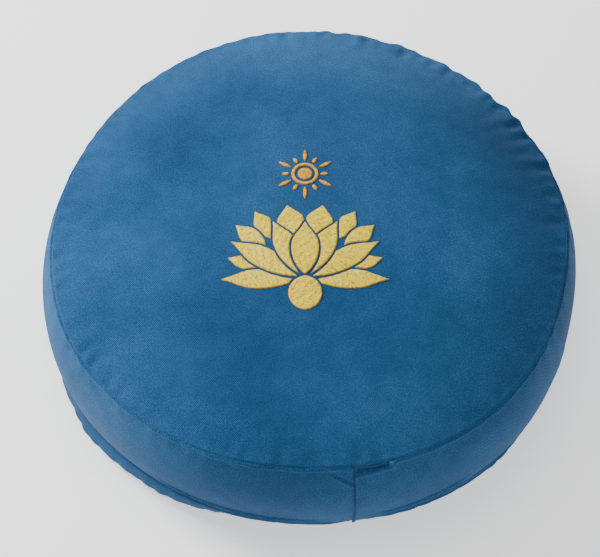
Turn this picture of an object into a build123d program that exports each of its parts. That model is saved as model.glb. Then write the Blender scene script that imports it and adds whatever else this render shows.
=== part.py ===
"""Round floor cushion: a zipped cotton cover, a zipped inner bag and a hull filling.

The cushion stands on the floor with the origin at the centre of its resting face. +Z is up and
-Y is the side that the embroidered flower points its base to, where the sitter's legs cross.
Profiles are drawn in a half-plane: x is the distance from the cushion's axis, y is the height.
"""
import os
from math import acos, asin, atan2, cos, degrees, hypot, radians, sin

from build123d import *

os.makedirs("parts", exist_ok=True)

# Overall shape, millimetres.
seam_radius = 165.0
top_seam_height = 89.0
bottom_seam_height = 10.0
crown_height = 27.0
band_bulge = 10.0
resting_radius = 140.0
crown_split = 0.62
crown_split_drop = 0.30

# Cloth and sewing.
cloth = 1.0
ply_gap = 0.2
seam_allowance = 10.0
front_seam_angle = 279.0
back_seam_angle = 90.0
thread = 0.4
thread_width = 0.6
stitch_setback = 1.5

# The cover's zip, low in the band.
zip_start_angle = 145.0
zip_end_angle = 259.0
zip_slit_height = 14.0
zip_hem = 10.0
topstitch_setback = 7.0
strip_end_gap = 0.3

# A coil zip of the size used on cushions.
tape_half_width = 10.0
tape_thickness = 0.5
coil_half_width = 2.0
coil_depth = 1.8
coil_gap = 1.2
slider_width = 8.0
slider_length = 10.0
slider_plate = 0.8
slider_post = 0.6
slider_post_length = 2.5
slider_corner = 2.0
slider_clearance = 0.4
bail_thickness = 1.0
bail_length = 7.0
bail_window = 1.9
bail_bar = 1.0
slit_clearance = 0.4
pull_thickness = 0.9
pull_width = 5.0
pull_length = 22.0
pull_corner = 2.2
pull_hole_radius = 1.0
pull_clearance = 0.3
zip_stop_length = 3.0
zip_rest_setback = 8.0

# The inner bag and its filling.
bag_cloth = 0.8
bag_top_clearance = 5.0
bag_side_clearance = 9.0
bag_seam_angle = 200.0
bag_zip_start_angle = 15.0
bag_zip_end_angle = 85.0
fill_clearance = 0.4

# The embroidery on the top panel.
satin = 0.8
petal_gap = 1.3
embroidery_centre_x = -3.0
flower_base_y = -46.0
backing = 0.3
backing_radius = 62.0
backing_centre_y = -10.0
sun_centre_y = 29.0
sun_disc_radius = 4.6
sun_ring_radius = 8.6
sun_ring_width = 2.2
sun_ray_start = 9.8
sun_ray_end = 19.6
sun_ray_width = 2.6
sun_ray_count = 12

# The sewn-in care label, left blank.
label_width = 22.0
label_height = 40.0
label_thickness = 0.3
label_angle = 305.0


class Arc:
    """A round stretch of the outline, convex outwards. Insets are measured inwards from it."""

    def __init__(self, centre, radius, start, end):
        self.centre = centre
        self.radius = radius
        self.start = start
        self.end = end

    def point(self, angle, inset=0.0):
        reach = self.radius - inset
        return (self.centre[0] + reach * cos(radians(angle)), self.centre[1] + reach * sin(radians(angle)))

    def angle_after(self, length):
        """The angle reached by going a length along the arc from its start."""
        turn = degrees(length / self.radius)
        return self.start + turn if self.end > self.start else self.start - turn

    def strip(self, inset, depth, first, last):
        """A face between two insets, from one length along the arc to another."""
        low, high = self.angle_after(first), self.angle_after(last)
        return self.sector(inset, depth, low, high)

    def sector(self, inset, depth, low, high):
        middle = (low + high) / 2
        outer = ThreePointArc(self.point(low, inset), self.point(middle, inset), self.point(high, inset))
        inner_inset = inset + depth
        inner = ThreePointArc(
            self.point(high, inner_inset), self.point(middle, inner_inset), self.point(low, inner_inset)
        )
        sides = [Line(outer @ 1, inner @ 0), Line(inner @ 1, outer @ 0)]
        return make_face([outer, sides[0], inner, sides[1]])


def band_arc():
    """The side band, counted upwards from the bottom seam."""
    half = (top_seam_height - bottom_seam_height) / 2
    radius = (half**2 + band_bulge**2) / (2 * band_bulge)
    centre = (seam_radius + band_bulge - radius, bottom_seam_height + half)
    reach = degrees(asin(half / radius))
    return Arc(centre, radius, -reach, reach)


def crown_arcs():
    """The top panel: a flatter crown and a rounder shoulder, tangent where they meet."""
    split = crown_split * seam_radius
    drop = crown_split_drop * crown_height
    crown_radius = (split**2 + drop**2) / (2 * drop)
    top = top_seam_height + crown_height
    crown_centre = (0.0, top - crown_radius)
    join_angle = degrees(acos(split / crown_radius))
    join = (split, top - drop)
    along = (cos(radians(join_angle)), sin(radians(join_angle)))
    chord = (seam_radius - join[0], top_seam_height - join[1])
    shoulder_radius = -(chord[0] ** 2 + chord[1] ** 2) / (2 * (along[0] * chord[0] + along[1] * chord[1]))
    shoulder_centre = (join[0] - shoulder_radius * along[0], join[1] - shoulder_radius * along[1])
    seam_angle = degrees(atan2(top_seam_height - shoulder_centre[1], seam_radius - shoulder_centre[0]))
    shoulder = Arc(shoulder_centre, shoulder_radius, seam_angle, join_angle)
    return Arc(crown_centre, crown_radius, join_angle, 90.0), shoulder


def bottom_arc():
    """The round edge below the bottom seam, counted from the seam down to the floor."""
    across = seam_radius - resting_radius
    radius = (across**2 + bottom_seam_height**2) / (2 * bottom_seam_height)
    seam_angle = degrees(atan2(bottom_seam_height - radius, across))
    return Arc((resting_radius, radius), radius, seam_angle, -90.0)


band = band_arc()
crown, shoulder = crown_arcs()
corner = bottom_arc()
total_height = top_seam_height + crown_height

# Construction outlines run on past the parts they bound: to a far point, or a little past an end.
far = 2 * seam_radius
past = 12.0


def below_top(inset):
    """All that lies deeper than an inset under the top panel's outside."""
    tip = crown.point(90.0, inset)
    join = crown.point(crown.start, inset)
    edge = shoulder.point(shoulder.start - past, inset)
    dome = ThreePointArc(tip, crown.point((90.0 + crown.start) / 2, inset), join)
    side = ThreePointArc(join, shoulder.point((shoulder.start - past + shoulder.end) / 2, inset), edge)
    rest = Polyline(edge, (far, edge[1]), (far, -far), (0, -far), tip)
    return make_face([dome, side, rest])


def inside_band(inset):
    """All that lies deeper than an inset behind the side band's outside."""
    low, high = band.start - past, band.end + past
    side = ThreePointArc(band.point(low, inset), band.point(0.0, inset), band.point(high, inset))
    rest = Polyline(side @ 1, (0, far), (0, -far), side @ 0)
    return make_face([side, rest])


def above_bottom(inset):
    """All that lies further than an inset above the underside."""
    low = corner.point(-90.0, inset)
    edge_angle = corner.start + past
    edge = corner.point(edge_angle, inset)
    side = ThreePointArc(low, corner.point((edge_angle - 90.0) / 2, inset), edge)
    rest = Polyline(edge, (far, edge[1]), (far, far), (0, far), (0, inset), low)
    return make_face([side, rest])


def inside(top_inset, side_inset, bottom_inset):
    return below_top(top_inset) & inside_band(side_inset) & above_bottom(bottom_inset)


def spin(profile, first=0.0, last=360.0):
    """Revolve a half-plane profile about the cushion's axis between two angles."""
    upright = Plane.XZ * profile
    turned = revolve(upright, Axis.Z, last - first)
    return turned.rotate(Axis.Z, first) if first else turned


def angle_of(length):
    """The angle about the axis that a length takes up at the seams."""
    return degrees(length / seam_radius)


def seam_gap_angle():
    """Half the gap between two sewn ends, as an angle about the axis."""
    return angle_of(ply_gap / 2)


def save(name, shape, colour):
    solids = Compound(children=list(shape.solids())) if len(shape.solids()) > 1 else shape.solids()[0]
    solids.label = name
    solids.color = Color(*colour)
    export_step(solids, f"parts/{name}.step")


blue = (0.13, 0.36, 0.55)
dark_blue = (0.08, 0.22, 0.38)
natural = (0.85, 0.82, 0.74)
metal = (0.55, 0.56, 0.58)
gold = (0.96, 0.86, 0.52)
amber = (0.88, 0.60, 0.15)
hull_brown = (0.45, 0.33, 0.22)


# --- The cover's panels -------------------------------------------------------------------------

def flange_inset(plies):
    """How deep a ply lies when others are folded between it and the outside."""
    return plies * cloth + ply_gap


def top_panel():
    """The crowned top, with its edge turned in and pressed back on itself."""
    outer_ply = inside(0, 0, 0) - below_top(cloth)
    turned_ply = shoulder.strip(cloth, cloth, -past, seam_allowance) & inside_band(flange_inset(1))
    return spin(outer_ply + turned_ply)


def bottom_panel():
    outer_ply = inside(0, 0, 0) - above_bottom(cloth)
    turned_ply = corner.strip(cloth, cloth, -past, seam_allowance) & inside_band(flange_inset(1))
    return spin(outer_ply + turned_ply)


def band_profile():
    """The full height of the side band with both its allowances."""
    ply = inside(flange_inset(1), 0, flange_inset(1)) - inside_band(cloth)
    return ply + band_flange(shoulder) + band_flange(corner)


def band_flange(neighbour):
    depth = flange_inset(2)
    return neighbour.strip(depth, cloth, -3 * cloth, seam_allowance) & inside_band(0)


def band_doubling():
    """The upright allowance at a band's end, folded flat behind it."""
    clear = flange_inset(2)
    return inside(clear, 0, clear) & (inside_band(cloth) - inside_band(2 * cloth))


slit_width = bail_thickness + 2 * slit_clearance
slit_low = zip_slit_height - slit_width / 2
slit_high = zip_slit_height + slit_width / 2


def upper_cut():
    """The space of the zip strip and the slit, taken out of the band above the zip."""
    return band.strip(-past, 3 * past, -2 * past, slit_high)


def upper_zip_profile():
    hem = band.strip(cloth, cloth, slit_high, slit_high + zip_hem)
    return (band_profile() - upper_cut()) + hem


def lower_zip_profile():
    keep = band.strip(-past, 3 * past, -2 * past, slit_low)
    hem = band.strip(cloth, cloth, slit_low - zip_hem / 2, slit_low)
    return (band_profile() & keep) + hem


def band_left():
    """The half of the band that holds the zip."""
    gap = seam_gap_angle()
    first, last = back_seam_angle + gap, front_seam_angle - gap
    doubled = angle_of(seam_allowance)
    solid = spin(band_profile(), first, zip_start_angle)
    solid += spin(upper_zip_profile(), zip_start_angle, zip_end_angle)
    solid += spin(band_profile(), zip_end_angle, last)
    solid += spin(band_doubling(), first, first + doubled)
    solid += spin(band_doubling(), last - doubled, last)
    return solid


def band_right():
    gap = seam_gap_angle()
    first, last = front_seam_angle + gap, back_seam_angle + 360.0 - gap
    doubled = angle_of(seam_allowance)
    solid = spin(band_profile(), first, last)
    solid += spin(band_doubling(), first, first + doubled)
    solid += spin(band_doubling(), last - doubled, last)
    return solid


def zip_strip():
    """The narrow strip below the zip, sewn to the bottom panel."""
    gap = angle_of(strip_end_gap)
    return spin(lower_zip_profile(), zip_start_angle + gap, zip_end_angle - gap)


# --- Sewing thread ------------------------------------------------------------------------------

def edge_thread(neighbour):
    """The run of stitches along a round seam, on the inside of its allowances."""
    first = stitch_setback + 2 * cloth
    return spin(neighbour.strip(flange_inset(3), thread, first, first + thread_width))


def band_thread():
    """The upright seams' stitches, front and back, behind the doubled plies."""
    clear = flange_inset(4)
    row = inside(clear, 2 * cloth, clear) - inside_band(2 * cloth + thread)
    half = angle_of(thread_width / 2)
    front = spin(row, front_seam_angle - half, front_seam_angle + half)
    back = spin(row, back_seam_angle - half, back_seam_angle + half)
    return front + back


def zip_thread():
    """The row of stitches that shows above the zip."""
    first = slit_high + topstitch_setback
    return spin(band.strip(-thread, thread, first, first + thread_width), zip_start_angle, zip_end_angle)


# --- Coil zips ----------------------------------------------------------------------------------

class Zip:
    """The depths of one coil zip behind the cloth, and its place along an arc."""

    def __init__(self, arc, middle, hem_depth, first, last, lowest=0.0):
        self.arc = arc
        self.middle = middle
        self.hem_depth = hem_depth
        self.first = first
        self.last = last
        self.lowest = lowest
        self.outer_plate = hem_depth + slider_clearance
        self.tape = self.outer_plate + slider_plate + slider_clearance
        self.coil = self.tape + tape_thickness
        self.inner_plate = self.coil + coil_depth + slider_clearance

    def half_tape(self, side):
        """One tape: flat on the hem, then stepped inwards where the slider passes over it."""
        step = slider_width / 2 + 2 * slider_clearance
        inner_end = self.middle + side * coil_gap / 2
        step_near = self.middle + side * step
        step_far = self.middle + side * (step + tape_thickness)
        outer_end = max(self.middle + side * tape_half_width, self.lowest)
        deep = self.strip_between(self.tape, tape_thickness, inner_end, step_far)
        riser = self.strip_between(self.hem_depth, self.coil - self.hem_depth, step_near, step_far)
        flat = self.strip_between(self.hem_depth, tape_thickness, step_near, outer_end)
        return deep + riser + flat

    def strip_between(self, inset, depth, first, last):
        return self.arc.strip(inset, depth, min(first, last), max(first, last))

    def tape_solid(self, side):
        return spin(self.half_tape(side), self.first, self.last)

    def coil_solid(self, side):
        """One half of the coil as the plain space that its turns fill."""
        near = self.middle + side * coil_gap / 2
        far_side = self.middle + side * (coil_gap / 2 + coil_half_width)
        profile = self.strip_between(self.coil, coil_depth, near, far_side)
        stop = angle_of(zip_stop_length)
        return spin(profile, self.first + stop + angle_of(ply_gap), self.last - stop - angle_of(ply_gap))

    def stop_solid(self, at_end):
        """A stop that bridges both tapes behind the slit, at one end of the coil."""
        reach = coil_gap / 2 + coil_half_width
        profile = self.arc.strip(self.coil, coil_depth, self.middle - reach, self.middle + reach)
        stop = angle_of(zip_stop_length)
        first = self.last - stop if at_end else self.first
        return spin(profile, first, first + stop)

    def slider_plane(self):
        """A plane on the cloth over the slider: x along the chain, y up the band, z outwards."""
        setback = angle_of(zip_stop_length + zip_rest_setback)
        tilt = self.arc.angle_after(self.middle)
        place = self.arc.point(tilt)
        turn = radians(self.first + setback)
        origin = (place[0] * cos(turn), place[0] * sin(turn), place[1])
        out = (cos(radians(tilt)) * cos(turn), cos(radians(tilt)) * sin(turn), sin(radians(tilt)))
        chain = (-sin(turn), cos(turn), 0)
        return Plane(origin=origin, x_dir=chain, z_dir=out)

    def block(self, length, width, low, high, x=0.0, y=0.0):
        """A box in the slider's plane, between two heights over the cloth."""
        return Pos(x, y, (low + high) / 2) * Box(length, width, high - low)

    def slider(self):
        """Two plates with a post between them and a bail that comes out through the slit."""
        outer_top = -self.outer_plate
        outer = self.block(slider_length, slider_width, outer_top - slider_plate, outer_top)
        inner_top = -self.inner_plate
        inner = self.block(slider_length, slider_width, inner_top - slider_plate, inner_top)
        plates = fillet((outer + inner).edges().filter_by(Axis.Z), slider_corner)
        post_top = outer_top - slider_plate
        post = self.block(slider_post_length, slider_post, inner_top, post_top, x=slider_post_length)
        bar_low = bail_window
        bar_high = bail_window + bail_bar
        bar = self.block(bail_length, bail_thickness, bar_low, bar_high)
        leg_x = (bail_length - bail_bar) / 2
        legs = self.block(bail_bar, bail_thickness, outer_top, bar_high, x=leg_x)
        legs += self.block(bail_bar, bail_thickness, outer_top, bar_high, x=-leg_x)
        body = plates + post + bar + legs
        return self.slider_plane() * body

    def pull_pivot(self):
        """The height of the pull's pin over the cloth, under the bail's bar."""
        return bail_window - pull_clearance - pull_thickness / 2

    def pull(self):
        """A tab whose pin passes under the bail, lying flat along the chain."""
        height = self.pull_pivot()
        low, high = height - pull_thickness / 2, height + pull_thickness / 2
        reach = hypot((bail_length + bail_bar) / 2, bail_bar + bail_window - height) + pull_clearance
        arm_inner = bail_thickness / 2 + pull_clearance
        arm_width = pull_width / 2 - arm_inner
        arm_y = arm_inner + arm_width / 2
        tab_length = pull_length - reach
        tab = self.block(tab_length, pull_width, low, high, x=reach + tab_length / 2)
        tab = fillet(tab.edges().filter_by(Axis.Z).sort_by(Axis.X)[-2:], pull_corner)
        hole = Pos(pull_length - pull_width / 2, 0, height) * Cylinder(pull_hole_radius, 2 * pull_thickness)
        arm_length = reach + pull_thickness / 2
        arm_x = (reach - pull_thickness / 2) / 2
        arms = self.block(arm_length, arm_width, low, high, x=arm_x, y=arm_y)
        arms += self.block(arm_length, arm_width, low, high, x=arm_x, y=-arm_y)
        pin = Pos(0, 0, height) * (Rot(90, 0, 0) * Cylinder(pull_thickness / 2, 2 * arm_inner + arm_width))
        return self.slider_plane() * ((tab - hole) + arms + pin)


# The lower tape ends above the bottom seam's folded allowances.
cover_zip = Zip(band, zip_slit_height, 2 * cloth, zip_start_angle, zip_end_angle, lowest=4 * cloth)


# --- The inner bag and its filling --------------------------------------------------------------

bag_arc = Arc(band.centre, band.radius - bag_side_clearance, band.start, band.end)
bag_zip_height = radians(band.end) * bag_arc.radius
bag_zip = Zip(bag_arc, bag_zip_height, 2 * bag_cloth, bag_zip_start_angle, bag_zip_end_angle)


def bag_outline(extra=0.0):
    """The bag's outside, or that with its ends set back."""
    return inside(bag_top_clearance + extra, bag_side_clearance, bag_top_clearance + extra)


def bag_edge(first, last):
    """A panel's edge turned along the inside of the bag's band."""
    return bag_arc.strip(bag_cloth + ply_gap, bag_cloth, first, last) & bag_outline()


def bag_top():
    length = 2 * bag_zip_height
    edge = bag_edge(length - seam_allowance, length + past)
    return spin((bag_outline() - below_top(bag_top_clearance + bag_cloth)) + edge)


def bag_bottom():
    edge = bag_edge(-past, seam_allowance)
    return spin((bag_outline() - above_bottom(bag_top_clearance + bag_cloth)) + edge)


def bag_band():
    """The bag's side, open along its zip."""
    ply = bag_outline(bag_cloth + ply_gap) - inside_band(bag_side_clearance + bag_cloth)
    slit = bag_arc.strip(-past, 2 * past, bag_zip_height - slit_width / 2, bag_zip_height + slit_width / 2)
    upper = bag_zip_height + slit_width / 2
    lower = bag_zip_height - slit_width / 2
    hems = bag_arc.strip(bag_cloth, bag_cloth, upper, upper + zip_hem)
    hems += bag_arc.strip(bag_cloth, bag_cloth, lower - zip_hem, lower)
    first = bag_seam_angle + seam_gap_angle() - 360.0
    last = bag_seam_angle - seam_gap_angle()
    solid = spin(ply, first, bag_zip_start_angle)
    solid += spin((ply - slit) + hems, bag_zip_start_angle, bag_zip_end_angle)
    solid += spin(ply, bag_zip_end_angle, last)
    return solid


def bag_thread():
    """The stitches of the bag's two round seams, behind the turned edges."""
    depth = 2 * bag_cloth + ply_gap
    first = stitch_setback + 2 * bag_cloth
    length = 2 * bag_zip_height
    low = bag_arc.strip(depth, thread, first, first + thread_width)
    high = bag_arc.strip(depth, thread, length - first - thread_width, length - first)
    return spin(low + high)


def filling():
    """The hulls as one closed body that fills the bag."""
    side = bag_side_clearance + bag_zip.inner_plate + slider_plate + fill_clearance
    top = bag_top_clearance + bag_cloth + fill_clearance
    return spin(inside(top, side, top))


# --- The embroidery and the label ---------------------------------------------------------------

# Petals of one half of the flower, front ones first: base x and y, tip x and y, width.
side_petals = [
    (-1.5, 0.5, -19.5, 37.5, 14.5),
    (-3.0, -0.5, -44.5, 24.0, 14.0),
    (-4.0, -2.5, -50.0, -1.5, 13.0),
    (-27.0, 6.0, -47.0, 13.0, 8.5),
    (-24.0, 19.0, -42.5, 36.0, 11.5),
    (-19.5, 26.0, -31.0, 45.5, 11.5),
    (-6.0, 24.0, -11.0, 49.5, 17.0),
]
centre_petal = (0.0, 1.0, 0.0, 37.0, 17.0)
receptacle = (0.0, -23.0, 0.0, 0.0, 20.5)


def leaf(base, tip, width, margin=0.0):
    """A leaf with pointed ends from its base to its tip, with an even margin round it."""
    across, up = tip[0] - base[0], tip[1] - base[1]
    length = hypot(across, up)
    ends = margin * length / width
    bow = width / 2 + margin
    left = ThreePointArc((0, -ends), (-bow, length / 2), (0, length + ends))
    right = ThreePointArc((0, length + ends), (bow, length / 2), (0, -ends))
    return Pos(base[0], base[1]) * (Rot(0, 0, -degrees(atan2(across, up))) * make_face([left, right]))


def petal(base_x, base_y, tip_x, tip_y, width, margin=0.0):
    base = (embroidery_centre_x + base_x, flower_base_y + base_y)
    tip = (embroidery_centre_x + tip_x, flower_base_y + tip_y)
    return leaf(base, tip, width, margin)


def mirrored(shape):
    return (-shape[0], shape[1], -shape[2], shape[3], shape[4])


def flower_faces():
    """Every petal, cut back by an even gap where another lies in front of it."""
    order = [receptacle, centre_petal]
    for shape in side_petals:
        order += [shape, mirrored(shape)]
    faces = []
    for index, shape in enumerate(order):
        face = petal(*shape)
        for front in order[:index]:
            face = face - petal(*front, margin=petal_gap)
        faces += [piece for piece in face.faces() if piece.area > 4 * petal_gap**2]
    return faces


def sun_faces():
    """A disc, a ring and tapered rays."""
    centre = Pos(embroidery_centre_x, sun_centre_y)
    disc = Circle(sun_disc_radius)
    ring = Circle(sun_ring_radius) - Circle(sun_ring_radius - sun_ring_width)
    faces = [disc, ring]
    for index in range(sun_ray_count):
        reach = sun_ray_end if index % 2 == 0 else (sun_ray_end + sun_ray_start) / 2
        turn = radians(index * 360 / sun_ray_count)
        base = (sun_ray_start * sin(turn), sun_ray_start * cos(turn))
        faces.append(leaf(base, (reach * sin(turn), reach * cos(turn)), sun_ray_width))
    return [centre * face for face in faces]


def lie_on_crown(faces, inset, depth):
    """Give flat figures a thickness between two depths under the crown's outside."""
    shell = spin(crown.sector(inset, depth, crown.start, 90.0))
    pieces = []
    for face in faces:
        column = Pos(0, 0, top_seam_height) * extrude(face, 2 * crown_height)
        pieces += (column & shell).solids()
    return Compound(children=pieces)


def backing_patch():
    """Thin stabiliser behind the embroidery."""
    disc = Pos(embroidery_centre_x, backing_centre_y) * Circle(backing_radius)
    return lie_on_crown([disc], cloth + ply_gap, backing)


def care_label():
    """A blank woven label behind the band, caught in the bottom seam."""
    half = angle_of(label_width / 2)
    first = seam_allowance / 2
    row = band.strip(cloth + ply_gap, label_thickness, first, first + label_height)
    return spin(row, label_angle - half, label_angle + half)


def main():
    save("cover_top_panel", top_panel(), blue)
    save("cover_bottom_panel", bottom_panel(), blue)
    save("cover_band_left", band_left(), blue)
    save("cover_band_right", band_right(), blue)
    save("cover_zip_strip", zip_strip(), blue)
    save("top_seam_thread", edge_thread(shoulder), dark_blue)
    save("bottom_seam_thread", edge_thread(corner), dark_blue)
    save("band_seam_thread", band_thread(), dark_blue)
    save("zip_topstitch_thread", zip_thread(), dark_blue)
    for name, unit in (("cover", cover_zip), ("inner", bag_zip)):
        save(f"{name}_zip_tape_upper", unit.tape_solid(1), dark_blue)
        save(f"{name}_zip_tape_lower", unit.tape_solid(-1), dark_blue)
        save(f"{name}_zip_coil_upper", unit.coil_solid(1), dark_blue)
        save(f"{name}_zip_coil_lower", unit.coil_solid(-1), dark_blue)
        save(f"{name}_zip_top_stop", unit.stop_solid(False), metal)
        save(f"{name}_zip_bottom_stop", unit.stop_solid(True), metal)
        save(f"{name}_zip_slider", unit.slider(), metal)
        save(f"{name}_zip_pull", unit.pull(), metal)
    save("inner_top_panel", bag_top(), natural)
    save("inner_bottom_panel", bag_bottom(), natural)
    save("inner_band", bag_band(), natural)
    save("inner_seam_thread", bag_thread(), natural)
    save("hull_fill", filling(), hull_brown)
    save("lotus_embroidery", lie_on_crown(flower_faces(), -satin, satin), gold)
    save("sun_embroidery", lie_on_crown(sun_faces(), -satin, satin), amber)
    save("embroidery_backing", backing_patch(), natural)
    save("care_label", care_label(), natural)


main()
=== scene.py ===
import math

import bpy
import numpy as np
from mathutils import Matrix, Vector


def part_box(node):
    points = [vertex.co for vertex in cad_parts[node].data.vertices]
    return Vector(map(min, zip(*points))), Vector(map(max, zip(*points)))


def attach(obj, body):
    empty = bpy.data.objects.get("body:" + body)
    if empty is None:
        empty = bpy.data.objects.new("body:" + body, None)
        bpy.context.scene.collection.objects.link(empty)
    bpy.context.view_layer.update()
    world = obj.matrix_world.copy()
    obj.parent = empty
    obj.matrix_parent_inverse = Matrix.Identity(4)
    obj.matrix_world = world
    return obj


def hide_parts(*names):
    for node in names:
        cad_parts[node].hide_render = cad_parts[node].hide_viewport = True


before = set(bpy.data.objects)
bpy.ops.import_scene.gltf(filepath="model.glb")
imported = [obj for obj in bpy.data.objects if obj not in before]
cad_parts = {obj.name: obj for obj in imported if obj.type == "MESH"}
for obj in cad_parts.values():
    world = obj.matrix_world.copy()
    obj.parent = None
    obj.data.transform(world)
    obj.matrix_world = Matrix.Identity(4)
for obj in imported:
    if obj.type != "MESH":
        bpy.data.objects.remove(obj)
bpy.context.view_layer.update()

MM = 0.001

# The cover's shape, in metres, as the CAD has it. Angles are in degrees about +Z from +X.
seam_radius = 0.165
top_seam_height = 0.089
bottom_seam_height = 0.010
resting_radius = 0.140
crown_split = 0.62
crown_split_drop = 0.30
front_seam_angle = 279.0
back_seam_angle = 90.0
zip_start_angle = 145.0
zip_end_angle = 259.0
zip_slit = 0.014
slit_half = 0.0009
total_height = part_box("cover_top_panel")[1].z
band_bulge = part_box("cover_band_left")[1].y - seam_radius


# --- The outline, as lengths along the cloth ----------------------------------------------------

class Arc:
    """A round stretch of the outline, in distance from the axis and height."""

    def __init__(self, centre, radius, start, end):
        self.centre = centre
        self.radius = radius
        self.start = start
        self.end = end
        self.length = abs(end - start) * radius

    def at(self, length):
        """Points at lengths along the arc from its start."""
        turn = np.sign(self.end - self.start) * np.asarray(length) / self.radius
        angle = self.start + turn
        return np.stack([
            self.centre[0] + self.radius * np.cos(angle),
            self.centre[1] + self.radius * np.sin(angle),
        ], -1)


def band_outline():
    half = (top_seam_height - bottom_seam_height) / 2
    radius = (half**2 + band_bulge**2) / (2 * band_bulge)
    reach = math.asin(half / radius)
    return Arc((seam_radius + band_bulge - radius, bottom_seam_height + half), radius, -reach, reach)


def top_outline():
    """The shoulder from the seam, then the crown up to the axis."""
    split = crown_split * seam_radius
    height = total_height - top_seam_height
    drop = crown_split_drop * height
    crown_radius = (split**2 + drop**2) / (2 * drop)
    join_angle = math.acos(split / crown_radius)
    join = np.array([split, total_height - drop])
    along = np.array([math.cos(join_angle), math.sin(join_angle)])
    chord = np.array([seam_radius, top_seam_height]) - join
    shoulder_radius = -(chord @ chord) / (2 * (along @ chord))
    centre = join - shoulder_radius * along
    seam_angle = math.atan2(top_seam_height - centre[1], seam_radius - centre[0])
    shoulder = Arc(tuple(centre), shoulder_radius, seam_angle, join_angle)
    crown = Arc((0.0, total_height - crown_radius), crown_radius, join_angle, math.pi / 2)
    return shoulder, crown


def corner_outline():
    across = seam_radius - resting_radius
    radius = (across**2 + bottom_seam_height**2) / (2 * bottom_seam_height)
    seam_angle = math.atan2(bottom_seam_height - radius, across)
    return Arc((resting_radius, radius), radius, seam_angle, -math.pi / 2)


band_arc = band_outline()
shoulder_arc, crown_arc = top_outline()
corner_arc = corner_outline()
band_height = band_arc.length
top_reach = shoulder_arc.length + crown_arc.length
bottom_reach = corner_arc.length + resting_radius


def top_profile(inward):
    """The top panel's outline at lengths inward from the seam."""
    inward = np.asarray(inward)
    on_shoulder = shoulder_arc.at(inward)
    on_crown = crown_arc.at(inward - shoulder_arc.length)
    return np.where((inward < shoulder_arc.length)[..., None], on_shoulder, on_crown)


def bottom_profile(inward):
    inward = np.asarray(inward)
    flat = np.stack([resting_radius - (inward - corner_arc.length), np.zeros_like(inward)], -1)
    return np.where((inward < corner_arc.length)[..., None], corner_arc.at(inward), flat)


# --- Cloth simulation: how the sewn panels wrinkle along their seams ----------------------------

sim_segments = 240
sim_top_rows = 28
sim_band_rows = 24
sim_bottom_rows = 8
sim_top_reach = 0.105
sim_bottom_reach = 0.030
sim_frames = 24
sim_pressure = 4.0
sim_fabric = {"tension": (25, 10), "compression": (25, 10), "shear": (5, 10), "bending": (0.05, 0.5)}
wrinkle_cap = 0.004
wrinkle_gain = 3.0

# Panels.
axis_hole = 0.0012
flat_reach = 0.073
top_segments = 540
turn_in = 0.004
cloth_skin = 0.0008
stitch_pitch = 0.0032
stitch_count = round(2 * math.pi * seam_radius / stitch_pitch)
topstitch_setback = 0.007
coil_pitch = 0.0016
coil_strand = 0.00032
tuck_span = 7.6


def sim_rows():
    """Start shape and cut pattern of the simulated rows, from the crown down to the underside."""
    inward = np.linspace(sim_top_reach, 0, sim_top_rows + 1)
    up = np.linspace(band_height, 0, sim_band_rows + 1)[1:]
    under = np.linspace(0, sim_bottom_reach, sim_bottom_rows + 1)[1:]
    start = np.concatenate([top_profile(inward), band_arc.at(up), bottom_profile(under)])
    cut_radius = (top_reach + bottom_reach) / 2
    pattern = np.concatenate([
        np.stack([top_reach - inward, np.full_like(inward, band_height)], -1),
        np.stack([np.full_like(up, cut_radius), up], -1),
        np.stack([bottom_reach - under, np.zeros_like(under)], -1),
    ])
    return start, pattern


def spun(rows, segments):
    """Positions of rows of (radius, height) turned about the axis."""
    angle = np.arange(segments) * 2 * math.pi / segments
    ring = np.stack([np.cos(angle), np.sin(angle)], -1)
    flat = rows[:, None, :1] * ring[None]
    height = np.broadcast_to(rows[:, None, 1:], flat.shape[:2] + (1,))
    return np.concatenate([flat, height], -1)


def quads_around(rows, segments):
    """Quads of a closed ring grid, facing out where the rows run downwards."""
    index = np.arange(rows * segments).reshape(rows, segments)
    right = np.roll(index, -1, 1)
    return np.stack([index[:-1], index[1:], right[1:], right[:-1]], -1).reshape(-1, 4)


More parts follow.
